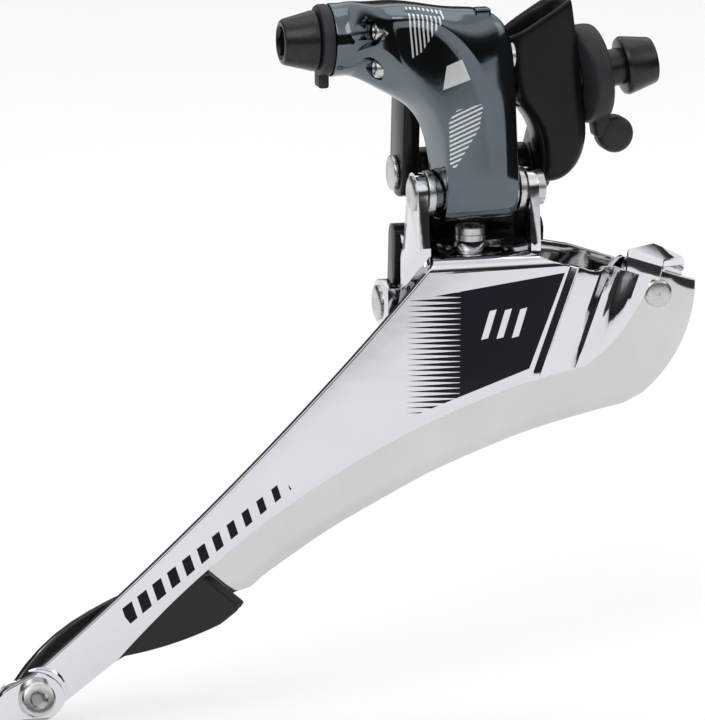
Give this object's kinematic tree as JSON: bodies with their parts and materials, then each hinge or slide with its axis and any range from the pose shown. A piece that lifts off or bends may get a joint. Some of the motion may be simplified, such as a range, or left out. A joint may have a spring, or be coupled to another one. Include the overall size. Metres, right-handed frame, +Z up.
{
  "type": "front derailleur",
  "caption": "Braze-on road front derailleur with a parallelogram linkage, cable clamp arm and curved chain cage.",
  "frame": {"origin": "fixing bolt's axis at the saddle face that meets the hanger", "axes": "+X forward on the bicycle, -Y outboard (the side seen first), +Z up; all linkage pivots run along X"},
  "size_m": [0.1035, 0.0239, 0.1031],
  "materials": {
    "anodised_link": "satin metallic anodised",
    "cage_chrome": "polished chrome plating",
    "black_body": "black satin anodised",
    "black_bolt": "black oxide",
    "bare_steel": "turned steel",
    "bush_bronze": "plain bronze",
    "pad_black": "matt moulded"
  },
  "bodies": {
    "mount": {"mount_body": "black_body", "radius_washer": "black_bolt", "upper_bush": "bush_bronze", "inner_upper_pin": "bare_steel", "return_spring": "bare_steel"},
    "fixing_bolt": {"mount_bolt": "black_bolt"},
    "outer_arm": {"outer_link": "anodised_link", "outer_upper_pin": "bare_steel", "outer_link_bushes": "bush_bronze", "cable_washer": "black_bolt"},
    "cable_screw": {"cable_bolt": "black_bolt"},
    "high_screw": {"high_limit_screw": "black_bolt"},
    "low_screw": {"low_limit_screw": "black_bolt"},
    "inner_arm": {"inner_link": "black_body", "inner_link_bushes": "bush_bronze"},
    "cage": {"pivot_bracket": "cage_chrome", "outer_plate": "cage_chrome", "inner_plate": "cage_chrome", "outer_lower_pin": "bare_steel", "inner_lower_pin": "bare_steel", "bracket_rivet": "bare_steel", "flange_rivets": "bare_steel", "nose_rivet": "bare_steel", "tail_screw": "bare_steel", "tail_spacer": "bare_steel", "tail_nut": "bare_steel", "tail_pad": "pad_black"}
  },
  "joints": [
    {"name": "outer_link_swing", "type": "hinge", "parent": "mount", "child": "outer_arm", "pos_m": [0, -0.0059, 0.0043], "axis": [-1, 0, 0], "range_deg": [0, 32], "stiffness_Nm_per_rad": 0.1, "springref_deg": -17.19},
    {"name": "inner_link_swing", "type": "hinge", "parent": "mount", "child": "inner_arm", "pos_m": [0, 0.005, -0.0134], "axis": [-1, 0, 0], "range_deg": [0, 32]},
    {"name": "cage_pivot", "type": "hinge", "parent": "outer_arm", "child": "cage", "pos_m": [0, -0.0044, -0.0145], "axis": [-1, 0, 0], "range_deg": [-32, 0]},
    {"name": "fixing_bolt_turn", "type": "hinge", "parent": "mount", "child": "fixing_bolt", "pos_m": [0, 0, 0], "axis": [0.989, 0, 0.1478], "continuous": true},
    {"name": "cable_bolt_turn", "type": "hinge", "parent": "outer_arm", "child": "cable_screw", "pos_m": [-0.0343, 0.003, 0.006], "axis": [-1, 0, 0], "continuous": true},
    {"name": "high_limit_turn", "type": "hinge", "parent": "outer_arm", "child": "high_screw", "pos_m": [-0.0296, -0.004, 0.003], "axis": [-1, 0, 0], "continuous": true},
    {"name": "low_limit_turn", "type": "hinge", "parent": "outer_arm", "child": "low_screw", "pos_m": [-0.0296, -0.004, 0.008], "axis": [-1, 0, 0], "continuous": true}
  ],
  "couplings": [
    {"joint": "inner_link_swing", "follows": "outer_link_swing", "ratio": 1},
    {"joint": "cage_pivot", "follows": "outer_link_swing", "ratio": -1}
  ]
}
